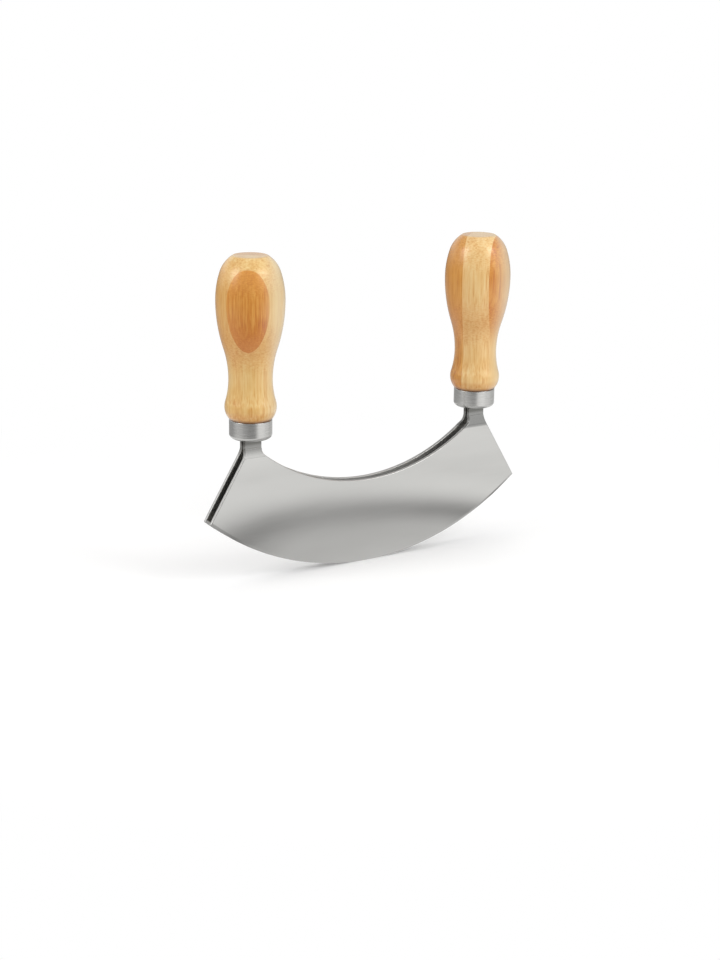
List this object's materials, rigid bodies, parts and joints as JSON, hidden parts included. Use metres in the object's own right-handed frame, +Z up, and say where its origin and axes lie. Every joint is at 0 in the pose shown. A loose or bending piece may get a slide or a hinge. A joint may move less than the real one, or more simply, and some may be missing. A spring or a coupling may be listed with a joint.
{
  "type": "mezzaluna",
  "caption": "Rocking herb chopper: parallel crescent steel blades with upright turned bamboo handles rising from steel ferrules at both ends.",
  "frame": {"origin": "midway between the blades, level with the lowest point of the cutting edges, in the middle of the span", "axes": "+X along the blades towards the right handle, +Y from the front blade to the rear blade, +Z up along the handles"},
  "size_m": [0.176, 0.0324, 0.1574],
  "materials": {
    "blade_steel": "fine satin brushing along the blade",
    "ferrule_steel": "satin, turned round the axis",
    "light_ply": "clear gloss lacquer on pale honey bamboo",
    "amber_ply": "clear gloss lacquer on amber bamboo",
    "dark_ply": "clear gloss lacquer on reddish bamboo",
    "resin": "cast, unfinished"
  },
  "bodies": {
    "root": {"front_blade": "blade_steel", "rear_blade": "blade_steel", "left_ferrule": "ferrule_steel", "right_ferrule": "ferrule_steel", "left_resin_plug": "resin", "right_resin_plug": "resin", "left_handle_front_cap": "dark_ply", "left_handle_front_ply": "light_ply", "left_handle_rear_ply": "amber_ply", "left_handle_rear_cap": "dark_ply", "right_handle_front_ply": "dark_ply", "right_handle_middle_ply": "light_ply", "right_handle_rear_ply": "amber_ply"}
  },
  "joints": []
}
